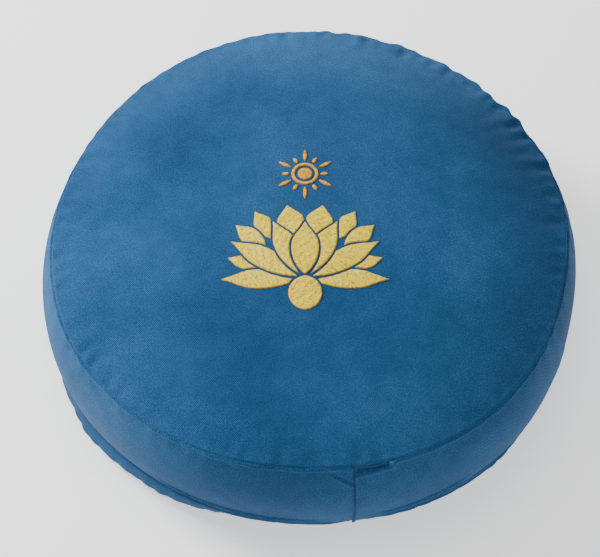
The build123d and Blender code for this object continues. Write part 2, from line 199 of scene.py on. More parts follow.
def simulate_cover():
    """Inflate the sewn panels and return how far each point leaves the even shape."""
    start, pattern = sim_rows()
    grid = spun(start, sim_segments)
    mesh = bpy.data.meshes.new("sim")
    faces = quads_around(len(start), sim_segments)
    mesh.from_pydata(grid.reshape(-1, 3).tolist(), [], faces.tolist())
    work = bpy.data.objects.new("sim", mesh)
    bpy.context.scene.collection.objects.link(work)
    work.shape_key_add(name="Basis")
    key = work.shape_key_add(name="pattern")
    key.data.foreach_set("co", spun(pattern, sim_segments).reshape(-1).astype(np.float32))
    key.value = 0.0
    pinned = work.vertex_groups.new(name="pinned")
    held_rows = list(range(3)) + list(range(len(start) - 3, len(start)))
    for row in held_rows:
        pinned.add(list(range(row * sim_segments, (row + 1) * sim_segments)), 1.0, "REPLACE")
    modifier = work.modifiers.new("cloth", "CLOTH")
    settings = modifier.settings
    settings.quality = 8
    settings.mass = 0.3
    for kind, (stiffness, damping) in sim_fabric.items():
        setattr(settings, f"{kind}_stiffness", stiffness)
        setattr(settings, f"{kind}_damping", damping)
    settings.air_damping = 4
    settings.use_pressure = True
    settings.uniform_pressure_force = sim_pressure
    settings.vertex_group_mass = "pinned"
    settings.rest_shape_key = key
    settings.effector_weights.gravity = 0
    modifier.collision_settings.use_collision = False
    modifier.point_cache.frame_start = 1
    modifier.point_cache.frame_end = sim_frames
    scene = bpy.context.scene
    for number in range(1, sim_frames + 1):
        scene.frame_set(number)
    shape = work.evaluated_get(bpy.context.evaluated_depsgraph_get())
    moved = np.zeros(len(mesh.vertices) * 3, np.float32)
    shape.data.vertices.foreach_get("co", moved)
    bpy.data.objects.remove(work)
    bpy.data.meshes.remove(mesh)
    scene.frame_set(1)
    return moved.reshape(grid.shape).astype(float), grid


def around(values, angle):
    """Values on evenly spaced points of a closed ring, read smoothly at any angles in degrees."""
    count = values.shape[1]
    spectrum = np.fft.rfft(values, axis=1) / count
    spectrum[:, 1:-1] *= 2
    order = np.arange(spectrum.shape[1])
    turns = np.exp(1j * order[:, None] * np.radians(angle)[None, :])
    return np.einsum("rkc,ka->rac", spectrum, turns).real


def along_rows(values, at, first_row, last_row):
    """Rows of values read at fractional rows, smoothly, and not past one panel's own rows."""
    at = np.clip(at, first_row, last_row)
    base = np.clip(np.floor(at).astype(int), first_row, last_row - 1)
    t = (at - base)[:, None, None]
    a, b, c, d = (values[np.clip(base + k, first_row, last_row)] for k in (-1, 0, 1, 2))
    return b + 0.5 * t * (c - a + t * (2 * a - 5 * b + 4 * c - d + t * (3 * (b - c) + d - a)))


class Wrinkles:
    """How the simulated cloth leaves its own mean outline, as radial, sideways and upward parts."""

    def __init__(self, moved, grid):
        angle = np.arctan2(grid[..., 1], grid[..., 0])
        out = moved[..., 0] * np.cos(angle) + moved[..., 1] * np.sin(angle)
        side = -moved[..., 0] * np.sin(angle) + moved[..., 1] * np.cos(angle)
        parts = np.stack([out, side, moved[..., 2]], -1)
        parts = wrinkle_gain * (parts - parts.mean(1, keepdims=True))
        self.parts = np.clip(parts, -wrinkle_cap, wrinkle_cap)

    def read(self, rows, first_row, last_row, angle):
        return around(along_rows(self.parts, rows, first_row, last_row), angle)

    def top(self, inward, angle):
        rows = sim_top_rows * (1 - inward / sim_top_reach)
        fade = np.clip((top_reach - flat_reach - inward) / 0.02, 0, 1)[:, None, None]
        return self.read(rows, 0, sim_top_rows, angle) * fade

    def band(self, up, angle):
        rows = sim_top_rows + (1 - up / band_height) * sim_band_rows
        return self.read(rows, sim_top_rows, sim_top_rows + sim_band_rows, angle)

    def bottom(self, inward, angle):
        first = sim_top_rows + sim_band_rows
        rows = first + inward / sim_bottom_reach * sim_bottom_rows
        fade = np.clip((sim_bottom_reach - inward) / 0.008, 0, 1)[:, None, None]
        return self.read(rows, first, first + sim_bottom_rows, angle) * fade


wrinkles = Wrinkles(*simulate_cover())


# --- The cover's own unevenness -----------------------------------------------------------------

def degrees_apart(angle, centre):
    return (angle - centre + 180.0) % 360.0 - 180.0


def ridge(distance, middle, width):
    """A smooth hump, 1 at its middle."""
    return np.exp(-(((distance - middle) / width) ** 2))


def ridges(distance, shapes):
    """Humps and hollows side by side, each given as its height, middle and width in metres."""
    return sum(height * ridge(distance, middle, width) for height, middle, width in shapes)


def bump_at(angle, centre, width):
    return ridge(degrees_apart(angle, centre), 0.0, width)


# Where the filled cushion swells past a true circle or falls short: angle, width, metres.
swells = [
    (210.0, 17.0, 0.0015),
    (155.0, 26.0, -0.0034),
    (308.0, 20.0, 0.0018),
    (268.0, 16.0, -0.0018),
    (346.0, 14.0, -0.0019),
    (92.0, 22.0, 0.0018),
]


def outline_swell(angle):
    return sum(amount * bump_at(angle, centre, width) for centre, width, amount in swells)


def smooth_step(value):
    value = np.clip(value, 0, 1)
    return value * value * (3 - 2 * value)


def keep_off_zip(out, up, angle):
    """Inward hollows are left out where the zip's tapes lie close behind the band."""
    near = ridge(up, zip_slit, 0.012)
    along = smooth_step((angle - zip_start_angle + 8) / 6) * smooth_step((zip_end_angle + 8 - angle) / 6)
    return np.where(out < 0, out * (1 - near * along), out)


def ripple(angle, seed, count, low, high):
    """A sum of waves round the cushion with fixed random phases."""
    draw = np.random.default_rng(seed)
    waves = draw.integers(low, high, count)
    phases = draw.uniform(0, 2 * math.pi, count)
    turned = np.radians(angle)
    return sum(np.cos(n * turned + p) for n, p in zip(waves, phases)) / math.sqrt(count)


def pucker_strength(angle):
    """Puckers are strongest round the back and the right."""
    return 0.40 + 1.3 * bump_at(angle, 40.0, 60.0) + 0.2 * bump_at(angle, 200.0, 40.0)


seam_groove = [(-0.0005, 0.0, 0.0006)]
seam_roll = [(0.0002, 0.0018, 0.0009)]
stitch_pull = 0.22


def seam_dip(distance, angle):
    """How far the cloth stands out near a seam: a groove, a soft roll and the pull of the stitches."""
    stitch = 1 + stitch_pull * np.cos(np.radians(angle) * stitch_count)
    return ridges(distance, seam_groove) * stitch + ridges(distance, seam_roll)


def puckers(distance, angle, seed):
    """Short gathers that fade away from the seam."""
    fade = np.exp(-distance / 0.010) * (1 - np.exp(-distance / 0.0015))
    waves = ripple(angle, seed, 7, 45, 95) * 0.00055 + ripple(angle, seed + 1, 5, 18, 40) * 0.0006
    return fade * waves * pucker_strength(angle)


# --- Building panels from grids -----------------------------------------------------------------

def grid_normals(grid, closed):
    """Outward normals of a grid whose rows run down the outside and columns run about +Z."""
    down = np.gradient(grid, axis=0)
    if closed:
        right = np.roll(grid, -1, 1) - np.roll(grid, 1, 1)
    else:
        right = np.gradient(grid, axis=1)
    normal = np.cross(down, right)
    return normal / np.maximum(np.linalg.norm(normal, axis=-1, keepdims=True), 1e-12)


def stand_out(grid, closed, lift):
    """Move a grid's points along its normals."""
    return grid + grid_normals(grid, closed) * lift[..., None]


def shell_mesh(name, grid, closed, uv, kept=None, capped=False):
    """A closed sheet of cloth: the grid, a second skin behind it, and rims round its edges."""
    rows, columns = grid.shape[:2]
    inner = grid - grid_normals(grid, closed) * cloth_skin
    points = np.concatenate([grid.reshape(-1, 3), inner.reshape(-1, 3)])
    index = np.arange(rows * columns).reshape(rows, columns)
    right = np.roll(index, -1, 1) if closed else index[:, 1:]
    left = index if closed else index[:, :-1]
    outer = np.stack([left[:-1], left[1:], right[1:], right[:-1]], -1)
    outer = outer.reshape(-1, 4) if kept is None else outer[kept]
    edges = np.concatenate([outer[:, [k, (k + 1) % 4]] for k in range(4)])
    count = rows * columns
    single = ~np.isin(edges[:, 0] * count + edges[:, 1], edges[:, 1] * count + edges[:, 0])
    if capped:
        single &= edges.min(1) >= columns
    a, b = edges[single].T
    rims = np.stack([a, a + count, b + count, b], -1)
    faces = [*np.concatenate([outer, outer[:, ::-1] + count, rims])]
    if capped:
        faces += [index[0], index[0, ::-1] + count]
    uv_points = np.concatenate([uv.reshape(-1, 2)] * 2)
    return make_piece(name, points, faces, uv_points)


def add_object(name, data):
    added = bpy.data.objects.new(name, data)
    bpy.context.scene.collection.objects.link(added)
    return added


def make_piece(name, points, faces, uv_points=None):
    """A smooth-shaded object, with its cloth coordinates as a point attribute in metres."""
    counts = np.array([len(face) for face in faces])
    corners = np.concatenate([np.asarray(face) for face in faces])
    used, corners = np.unique(corners, return_inverse=True)
    mesh = bpy.data.meshes.new(name)
    mesh.vertices.add(len(used))
    mesh.vertices.foreach_set("co", np.ascontiguousarray(points[used], np.float32).ravel())
    mesh.loops.add(len(corners))
    mesh.loops.foreach_set("vertex_index", corners.ravel().astype(np.int32))
    mesh.polygons.add(len(counts))
    starts = np.concatenate([[0], np.cumsum(counts)[:-1]])
    mesh.polygons.foreach_set("loop_start", starts.astype(np.int32))
    mesh.update(calc_edges=True)
    mesh.shade_smooth()
    if uv_points is not None:
        layer = mesh.attributes.new("weave", "FLOAT_VECTOR", "POINT")
        flat = np.zeros((len(used), 3), np.float32)
        flat[:, : uv_points.shape[1]] = uv_points[used]
        layer.data.foreach_set("vector", flat.ravel())
    return add_object(name, mesh)


def place(profile, wrinkle, angle, up=None):
    """Points of a panel from its outline, its wrinkles and the cushion's unevenness."""
    turned = np.radians(angle)[None, :]
    share = smooth_step((profile[:, :1] - flat_reach) / (seam_radius - flat_reach))
    wrinkle = wrinkle * np.clip(pucker_strength(angle), 0, 1)[None, :, None]
    moved = wrinkle[..., 0] + share * outline_swell(angle)[None, :]
    if up is not None:
        moved = keep_off_zip(moved, up[:, None], angle[None, :])
    out = profile[:, :1] + moved
    side = wrinkle[..., 1]
    height = profile[:, 1:] + wrinkle[..., 2]
    x = out * np.cos(turned) - side * np.sin(turned)
    y = out * np.sin(turned) + side * np.cos(turned)
    return np.stack([x, y, height], -1)


def spaced(length, near, far, reach):
    """Marks from 0 to a length, close together at the start and wider further on."""
    marks = [0.0]
    while marks[-1] < length:
        share = min(1.0, marks[-1] / reach)
        marks.append(marks[-1] + near + (far - near) * share)
    return np.array(marks) * (length / marks[-1])


def graded(first, last, near, far, reach):
    """Marks from one value to another, close together at both ends."""
    half = spaced((last - first) / 2, near, far, reach)
    return np.concatenate([first + half, last - half[-2::-1]])


def turned_rows(edge, drop):
    """The cloth carried inwards and over behind its seam, so that no gap shows there."""
    steps = np.array([0.3, 0.7, 1.0])[:, None]
    rows = np.repeat(edge, len(steps), 0)
    rows[..., :2] *= (1 - 0.014 * steps)[..., None]
    rows[..., 2] += drop * steps
    return rows


def disc_uv(radius, angle):
    turned = np.radians(angle)
    return np.stack([radius[:, None] * np.cos(turned), radius[:, None] * np.sin(turned)], -1)


# --- The cover's panels -------------------------------------------------------------------------

def make_top():
    inward = spaced(top_reach - axis_hole, 0.0006, 0.0026, 0.02)
    angle = np.linspace(0, 360, top_segments, endpoint=False)
    grid = place(top_profile(inward), wrinkles.top(inward, angle), angle)[::-1]
    lift = seam_dip(inward[:, None], angle[None]) + puckers(inward[:, None], angle[None], 11)
    grid = stand_out(grid, True, lift[::-1])
    edge = turned_rows(grid[-1:], -turn_in)
    radius = np.concatenate([(top_reach - inward)[::-1], np.full(len(edge), top_reach)])
    return shell_mesh("cover_top", np.concatenate([grid, edge]), True, disc_uv(radius, angle), capped=True)


def make_bottom():
    inward = spaced(bottom_reach - axis_hole, 0.0006, 0.0035, 0.03)
    angle = np.linspace(0, 360, top_segments, endpoint=False)
    grid = place(bottom_profile(inward), wrinkles.bottom(inward, angle), angle)
    lift = seam_dip(inward[:, None], angle[None]) + puckers(inward[:, None], angle[None], 31)
    grid = stand_out(grid, True, lift)
    edge = turned_rows(grid[:1], turn_in)[::-1]
    grid = np.concatenate([edge, grid])[::-1]
    grid[..., 2] = np.maximum(grid[..., 2], 0)
    radius = np.concatenate([(bottom_reach - inward)[::-1], np.full(len(edge), bottom_reach)])
    uv = disc_uv(radius, -angle)
    return shell_mesh("cover_bottom", grid[:, ::-1], True, uv[:, ::-1], capped=True)


def band_rows():
    """Heights along the band from its top seam down, close together at the seams and the zip."""
    low = graded(0.0, zip_slit - slit_half, 0.0006, 0.0010, 0.004)
    high = graded(zip_slit + slit_half, band_height, 0.0006, 0.0010, 0.004)
    return np.concatenate([low, high])[::-1]


def in_zip(angle):
    """1 along the zip and 0 past its ends."""
    return smooth_step((angle - zip_start_angle) / 3) * smooth_step((zip_end_angle - angle) / 3)


# Above the zip: its broad sunk edge, the fold at the slit, the row of stitches and the hem's end.
above_zip = [
    (-0.0009, 0.0, 0.009),
    (-0.0010, 0.0, 0.0011),
    (-0.0005, topstitch_setback, 0.0007),
    (-0.0004, 0.0105, 0.0012),
]
below_zip = [(-0.0016, 0.0, 0.0016)]
# How far the strip rolls out below the zip, and how much further at its fullest.
strip_roll = 0.0064
strip_roll_more = 0.0016


def zip_lift(up, angle):
    """The folded edges beside the zip, its row of stitches, and the strip that rolls out below."""
    above = np.clip(up - zip_slit, 0, None)
    below = np.clip(zip_slit - up, 0, None)
    swell = strip_roll + strip_roll_more * bump_at(angle, 215.0, 11.0) + 0.0005 * ripple(angle, 71, 4, 5, 16)
    swell = 0.0003 + swell * smooth_step((angle - 162) / 22) * smooth_step((zip_end_angle - 2 - angle) / 24)
    roll = swell * smooth_step(up / 0.0036) * np.clip((0.0134 - up) / 0.0094, 0, 1)
    return in_zip(angle) * np.where(up >= zip_slit, ridges(above, above_zip), roll + ridges(below, below_zip))


# Long soft creases low on the band: start and end angle, height along the band at each end, depth.
creases = [
    (232.0, 278.0, 0.030, 0.021, 0.0012),
    (246.0, 278.5, 0.024, 0.013, 0.0009),
    (262.0, 278.5, 0.010, 0.008, 0.0011),
    (279.5, 318.0, 0.017, 0.027, 0.0014),
    (280.5, 306.0, 0.026, 0.034, 0.0011),
    (283.0, 326.0, 0.010, 0.016, 0.0011),
    (290.0, 322.0, 0.022, 0.030, 0.0008),
    (20.0, 70.0, 0.030, 0.022, 0.0008),
    (104.0, 140.0, 0.020, 0.030, 0.0009),
    (330.0, 372.0, 0.034, 0.024, 0.0008),
]
crease_gain = 1.5
crease_width = 0.0011


def crease_lift(up, angle):
    total = np.zeros(np.broadcast(up, angle).shape)
    for first, last, start_up, end_up, depth in creases:
        share = (degrees_apart(angle, first) % 360.0) / (last - first)
        middle = start_up + (end_up - start_up) * share + 0.0010 * np.sin(share * 5.0 + first)
        ends = smooth_step(share / 0.25) * smooth_step((1 - share) / 0.25)
        across = (up - middle) / crease_width
        total += crease_gain * ends * depth * (ridge(across, 1.1, 1.0) - ridge(across, 0.0, 1.0))
    return total


def front_folds(up, angle):
    """The small tuck right of the front seam and the diagonal crease left of it."""
    below_seam = band_height - up
    right = degrees_apart(angle, front_seam_angle)
    span = right / tuck_span
    lip = 0.0064 - 0.0026 * span
    inside = smooth_step((lip - below_seam) / 0.0010) * smooth_step(right / 0.3)
    inside = inside * smooth_step((1 - span) / 0.06)
    sunk = -0.0016 * inside
    lip_roll = 0.0008 * ridge(below_seam - lip, 0.0012, 0.0012)
    lip_roll = lip_roll * smooth_step(right / 0.3) * smooth_step((1.05 - span) / 0.2)
    pucker = 0.0016 * ridge(span, 1.08, 0.10) * ridge(below_seam, 0.003, 0.004)
    left = -right / 5.0
    across = (below_seam - 0.004 - 0.011 * (1 - left)) / 0.0015
    diagonal = 0.0007 * (ridge(across, 1.0, 1.0) - ridge(across, -0.4, 1.0))
    diagonal = diagonal * smooth_step(left / 0.15) * smooth_step((1 - left) / 0.2)
    return sunk + lip_roll + pucker + diagonal


# Small shapes at the band's edges: along its top seam, and at its ends.
rim_roll = [(0.0007, 0.0015, 0.0006)]
front_over = [(0.0011, 0.0010, 0.0007), (-0.0014, 0.0, 0.00035)]
front_under = [(-0.0008, 0.0, 0.0010)]
back_join = [(-0.0010, 0.0, 0.0016), (-0.0016, 0.0, 0.007)]


def band_grid(angle, up):
    """The band's surface with all its folds, without what its ends do."""
    grid = place(band_arc.at(up), wrinkles.band(up, angle), angle, up)
    up_grid, angle_grid = up[:, None], angle[None, :]
    lift = seam_dip(band_height - up_grid, angle_grid) + seam_dip(up_grid, angle_grid)
    lift = lift + puckers(band_height - up_grid, angle_grid, 21) + puckers(up_grid, angle_grid, 41)
    lift = lift + crease_lift(up_grid, angle_grid) + front_folds(up_grid, angle_grid)
    lift = lift + ridges(band_height - up_grid, rim_roll)
    return grid, lift + zip_lift(up_grid, angle_grid)


def over_end(angle):
    """The right half's end at the front: a small rounded ridge that turns under."""
    along = np.radians(np.abs(degrees_apart(angle, front_seam_angle))) * seam_radius
    return ridges(along, front_over)


def under_end(angle):
    """The left half's end at the front, sunk a little before the ridge and carried under it."""
    along = np.radians(angle - front_seam_angle) * seam_radius
    return ridges(np.minimum(along, 0), front_under) - 0.9 * np.maximum(along, 0)


def back_end(angle):
    """Each half sinks towards the upright seam at the back."""
    along = np.radians(np.abs(degrees_apart(angle, back_seam_angle))) * seam_radius
    return ridges(along, back_join)


def band_uv(angle, up):
    across = np.radians(angle) * (seam_radius + band_bulge)
    return np.stack(np.broadcast_arrays(across[None, :], up[:, None]), -1)


def make_band(name, angle, up, ends, kept=None, with_edges=(True, True)):
    grid, lift = band_grid(angle, up)
    for end in ends:
        lift = lift + end(angle)[None, :]
    grid = stand_out(grid, False, lift)
    if with_edges[0]:
        grid = np.concatenate([turned_rows(grid[:1], -turn_in)[::-1], grid])
        up = np.concatenate([np.full(3, up[0]), up])
    if with_edges[1]:
        grid = np.concatenate([grid, turned_rows(grid[-1:], turn_in)])
        up = np.concatenate([up, np.full(3, up[-1])])
    return shell_mesh(name, grid, False, band_uv(angle, up), kept=kept)


def make_band_right():
    angle = graded(front_seam_angle, back_seam_angle + 360, 0.06, 0.42, 6.0)
    return make_band("cover_side_right", angle, band_rows(), [over_end, back_end])


def make_band_left():
    angle = np.concatenate([
        graded(back_seam_angle, zip_start_angle, 0.2, 0.42, 8.0)[:-1],
        graded(zip_start_angle, zip_end_angle, 0.3, 0.42, 8.0)[:-1],
        graded(zip_end_angle, front_seam_angle + 0.5, 0.10, 0.42, 6.0),
    ])
    up = band_rows()
    ends = [under_end, back_end]
    row_up = np.concatenate([np.full(3, up[0]), up, np.full(3, up[-1])])
    low = (row_up[:-1] + row_up[1:]) / 2 < zip_slit + slit_half / 2
    middle = (angle[:-1] + angle[1:]) / 2
    open_here = (middle > zip_start_angle) & (middle < zip_end_angle)
    kept = ~(low[:, None] & open_here[None, :])
    return make_band("cover_side_left", angle, up, ends, kept=kept)


def make_zip_strip():
    angle = graded(zip_start_angle + 0.1, zip_end_angle - 0.1, 0.3, 0.42, 8.0)
    up = graded(0.0, zip_slit - slit_half, 0.0006, 0.0010, 0.004)[::-1]
    return make_band("cover_strip", angle, up, [], with_edges=(False, True))


# --- Embroidery ---------------------------------------------------------------------------------

petal_gap = 0.0013
flower_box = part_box("lotus_embroidery")
embroidery_x = (flower_box[0].x + flower_box[1].x) / 2
flower_base = np.array([embroidery_x, -0.046])
sun_centre = np.array([embroidery_x, 0.029])
stitch_grid = 0.00036
tip_taper = 1.1
tip_growth = 0.04
satin_height = 0.0008
satin_sink = 0.0004
satin_edge = 0.0011
vein_height = 0.00012
vein_pitch = 0.0052
vein_slant = 900
row_shift = 0.0137

# Base x and y, tip x and y and width in millimetres from the flower's base, the front ones first.
receptacle = (0.0, -23.0, 0.0, 0.0, 20.5)
centre_petal = (0.0, 1.0, 0.0, 37.0, 17.0)
side_petals = [
    (-1.5, 0.5, -19.5, 37.5, 14.5),
    (-3.0, -0.5, -44.5, 24.0, 14.0),
    (-4.0, -2.5, -50.0, -1.5, 13.0),
    (-27.0, 6.0, -47.0, 13.0, 8.5),
    (-24.0, 19.0, -42.5, 36.0, 11.5),
    (-19.5, 26.0, -31.0, 45.5, 11.5),
    (-6.0, 24.0, -11.0, 49.5, 17.0),
]

# The sun in metres: radii of its disc, ring and rays.
sun_disc = 0.0046
sun_ring = (0.0064, 0.0086)
sun_rays = (0.0098, 0.0196)
sun_ray_width = 0.0026
sun_ray_count = 12


class Leaf:
    """A pointed oval between two points; its field is negative inside, in metres."""

    def __init__(self, base, tip, width, taper=0.0):
        self.base, self.tip, self.taper = np.asarray(base), np.asarray(tip), taper
        self.length = np.linalg.norm(self.tip - self.base)
        self.axis = (self.tip - self.base) / self.length
        self.side = np.array([-self.axis[1], self.axis[0]])
        self.width = width
        self.low = np.minimum(self.base, self.tip) - width
        self.high = np.maximum(self.base, self.tip) + width

    def local(self, points):
        away = points - self.base
        return np.stack([away @ self.axis, away @ self.side], -1)

    def field(self, points, margin=0.0):
        half = self.length / 2 + margin * self.length / self.width
        bow = self.width / 2 + margin
        radius = (half**2 + bow**2) / (2 * bow)
        along, across = np.moveaxis(self.local(points), -1, 0)
        nearing = np.clip((along / self.length - 0.62) / 0.38, 0, 1.2)
        across = np.abs(across) * (1 + self.taper * nearing**2)
        reach = np.hypot(along - self.length / 2, across + radius - bow)
        return reach - radius


class Ring:
    """A disc or a ring round a centre."""

    def __init__(self, centre, inner, outer):
        self.centre, self.inner, self.outer = centre, inner, outer
        self.low, self.high = centre - outer * 1.2, centre + outer * 1.2

    def local(self, points):
        away = points - self.centre
        around = np.arctan2(away[..., 1], away[..., 0]) * self.outer
        return np.stack([around, np.hypot(away[..., 0], away[..., 1])], -1)

    def field(self, points):
        reach = np.hypot(*np.moveaxis(points - self.centre, -1, 0))
        return np.maximum(reach - self.outer, self.inner - reach)


def mirrored(shape):
    return (-shape[0], shape[1], -shape[2], *shape[3:])


def petals():
    order = [receptacle, centre_petal]
    for shape in side_petals:
        order += [shape, mirrored(shape)]
    leaves = []
    for number, shape in enumerate(order):
        base, tip = MM * np.array(shape[:2]), MM * np.array(shape[2:4])
        taper = 0.0 if number == 0 else tip_taper
        tip = tip + (tip - base) * (tip_growth if number else 0.0)
        leaves.append(Leaf(flower_base + base, flower_base + tip, MM * shape[4], taper))
    return leaves


def sun_shapes():
    shapes = [Ring(sun_centre, 0.0, sun_disc), Ring(sun_centre, *sun_ring)]
    for index in range(sun_ray_count):
        near, far = sun_rays
        reach = far if index % 2 == 0 else (near + far) / 2
        turn = 2 * math.pi * index / sun_ray_count
        away = np.array([math.sin(turn), math.cos(turn)])
        shapes.append(Leaf(sun_centre + near * away, sun_centre + reach * away, sun_ray_width))
    return shapes


crown_lengths = np.linspace(0, top_reach, 900)
crown_radii, crown_heights = top_profile(crown_lengths).T


def crown_height_at(points):
    return np.interp(-np.hypot(points[..., 0], points[..., 1]), -crown_radii, crown_heights)


def stitched_area(shape, in_front):
    """A raised area of stitches: triangles of a fine net, with its edge drawn onto the outline."""
    def field(points):
        inside = shape.field(points)
        for front in in_front:
            inside = np.maximum(inside, -front.field(points, petal_gap))
        return inside

    xs = np.arange(shape.low[0], shape.high[0], stitch_grid)
    ys = np.arange(shape.low[1], shape.high[1], stitch_grid)
    net = np.stack(np.meshgrid(xs, ys), -1)
    index = np.arange(net.shape[0] * net.shape[1]).reshape(net.shape[:2])
    a, b, c, d = index[:-1, :-1], index[:-1, 1:], index[1:, 1:], index[1:, :-1]
    triangles = np.concatenate([np.stack(corners, -1).reshape(-1, 3) for corners in ((a, b, c), (a, c, d))])
    points = net.reshape(-1, 2)
    value = field(points)
    edges = np.concatenate([triangles[:, [0, 1]], triangles[:, [1, 2]], triangles[:, [2, 0]]])
    edges = edges[(value[edges[:, 0]] < 0) != (value[edges[:, 1]] < 0)]
    first, second = value[edges[:, 0]], value[edges[:, 1]]
    share = (first / (first - second))[:, None]
    crossing = points[edges[:, 0]] * (1 - share) + points[edges[:, 1]] * share
    nearer = np.where(np.abs(first) < np.abs(second), edges[:, 0], edges[:, 1])
    points = points.copy()
    points[nearer] = crossing
    value[nearer] = 0.0
    centre = field(points[triangles].mean(1))
    inside = (value[triangles] <= 0).all(1) & (centre < -0.00002)
    return points, triangles[inside], value


def closed_slab(top, bottom, triangles):
    """Faces of a solid between two copies of a net of triangles."""
    count = len(top)
    edges = np.concatenate([triangles[:, [0, 1]], triangles[:, [1, 2]], triangles[:, [2, 0]]])
    single = ~np.isin(edges[:, 0] * count + edges[:, 1], edges[:, 1] * count + edges[:, 0])
    first, second = edges[single].T
    walls = np.stack([first, first + count, second + count, second], -1)
    return np.concatenate([top, bottom]), [*triangles, *(triangles[:, ::-1] + count), *walls]


def make_embroidery(name, shapes, cut_back, turn):
    """All of one figure's areas as a single piece. Its cloth coordinates follow each area's axis."""
    all_points, all_faces, all_uv, start = [], [], [], 0
    for number, shape in enumerate(shapes):
        flat, triangles, value = stitched_area(shape, shapes[:number] if cut_back else [])
        if not len(triangles):
            continue
        depth = np.clip(-value / satin_edge, 0, 1)
        rise = satin_height * (0.30 + 0.70 * np.sqrt(1 - (1 - depth) ** 2))
        local = shape.local(flat)
        if cut_back:
            phase = local[:, 0] * 2 * math.pi / vein_pitch + local[:, 1] * vein_slant
            rise = rise + vein_height * np.sin(phase)
        base = crown_height_at(flat)
        top = np.concatenate([flat, (base + rise)[:, None]], 1)
        bottom = np.concatenate([flat, (base - satin_sink)[:, None]], 1)
        points, faces = closed_slab(top, bottom, triangles)
        cosine, sine = math.cos(turn), math.sin(turn)
        row = np.stack([
            local[:, 0] * cosine - local[:, 1] * sine + number * row_shift,
            local[:, 0] * sine + local[:, 1] * cosine,
        ], -1)
        all_points.append(points)
        all_uv += [np.concatenate([row, -value[:, None]], 1)] * 2
        all_faces += [face + start for face in faces]
        start += len(points)
    return make_piece(name, np.concatenate(all_points), all_faces, np.concatenate(all_uv))


# --- Thread and zip details ---------------------------------------------------------------------

# How far the cloth coordinates move on from one thread to the next.
thread_shift = 0.004


def tubes(name, paths, sides, radius):
    """Short round threads, one along each path. Paths, sides and radii have one row per thread."""
    turns = np.linspace(0, 2 * math.pi, 8, endpoint=False)
    forward = np.gradient(paths, axis=1)
    forward /= np.linalg.norm(forward, axis=-1, keepdims=True)
    across = np.cross(forward, sides)
    across /= np.linalg.norm(across, axis=-1, keepdims=True)
    lifted = np.cross(across, forward)
    circle = across[:, :, None] * np.cos(turns)[:, None] + lifted[:, :, None] * np.sin(turns)[:, None]
    points = paths[:, :, None] + circle * radius[:, :, None, None]
    count, stations, corners = points.shape[:3]
    index = np.arange(points.size // 3).reshape(count, stations, corners)
    ahead = np.roll(index, -1, 2)
    walls = np.stack([index[:, :-1], ahead[:, :-1], ahead[:, 1:], index[:, 1:]], -1).reshape(-1, 4)
    faces = [*walls, *index[:, 0, ::-1], *index[:, -1]]
    length = np.linalg.norm(np.diff(paths, axis=1), axis=-1).cumsum(1)
    length = np.concatenate([np.zeros((count, 1)), length], 1) + np.arange(count)[:, None] * thread_shift
    uv = np.stack(np.broadcast_arrays(length[:, :, None], turns * radius.max()), -1)
    return make_piece(name, points.reshape(-1, 3), faces, uv.reshape(-1, 2))


def band_line(up, angle):
    """Points and outward directions along a line at one height of the band."""
    step = 0.0005
    rows = np.array([up + step, up, up - step])
    grid, lift = band_grid(angle, rows)
    grid = stand_out(grid, False, lift)
    return grid[1], grid_normals(grid, False)[1]


def make_topstitch():
    """A row of real stitches over the zip."""
    arc = math.radians(zip_end_angle - zip_start_angle) * (seam_radius + band_bulge)
    count = int(arc / stitch_pitch)
    starts = np.linspace(zip_start_angle + 1, zip_end_angle - 1, count + 1)
    stations = np.linspace(0.12, 0.88, 7)
    angle = starts[:-1, None] + (starts[1] - starts[0]) * stations[None]
    points, normals = band_line(zip_slit + topstitch_setback, angle.ravel())
    points, normals = points.reshape(count, 7, 3), normals.reshape(count, 7, 3)
    rise = 0.00022 - 0.0007 * (np.abs(stations - 0.5) / 0.38) ** 3
    taper = np.sqrt(1 - 0.8 * (np.abs(stations - 0.5) / 0.38) ** 4)
    radius = np.repeat((0.00027 * taper)[None], count, 0)
    return tubes("topstitch", points + normals * rise[None, :, None], normals, radius)


def make_coil(name, node, lead):
    """A zip coil as one wound strand, in the place of the CAD's plain one."""
    low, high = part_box(node)
    points = np.array([v.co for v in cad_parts[node].data.vertices])
    reach = np.hypot(points[:, 0], points[:, 1])
    around_axis = np.unwrap(np.sort(np.arctan2(points[:, 1], points[:, 0]) % (2 * math.pi)))
    centre = (reach.min() + reach.max()) / 2
    half = np.array([(reach.max() - reach.min()) / 2, (high.z - low.z) / 2]) - coil_strand
    turns = (around_axis[-1] - around_axis[0]) * centre / coil_pitch
    along = np.linspace(0, 1, int(turns * 14))
    angle = around_axis[0] + (around_axis[-1] - around_axis[0]) * along
    phase = 2 * math.pi * turns * along + lead
    out = centre + half[0] * np.cos(phase)
    height = (low.z + high.z) / 2 + half[1] * np.sin(phase)
    path = np.stack([out * np.cos(angle), out * np.sin(angle), height], -1)[None]
    sides = np.stack([np.cos(angle), np.sin(angle), np.full_like(angle, 0.3)], -1)[None]
    return tubes(name, path, sides, np.full((1, len(along)), coil_strand))


# --- Materials ----------------------------------------------------------------------------------

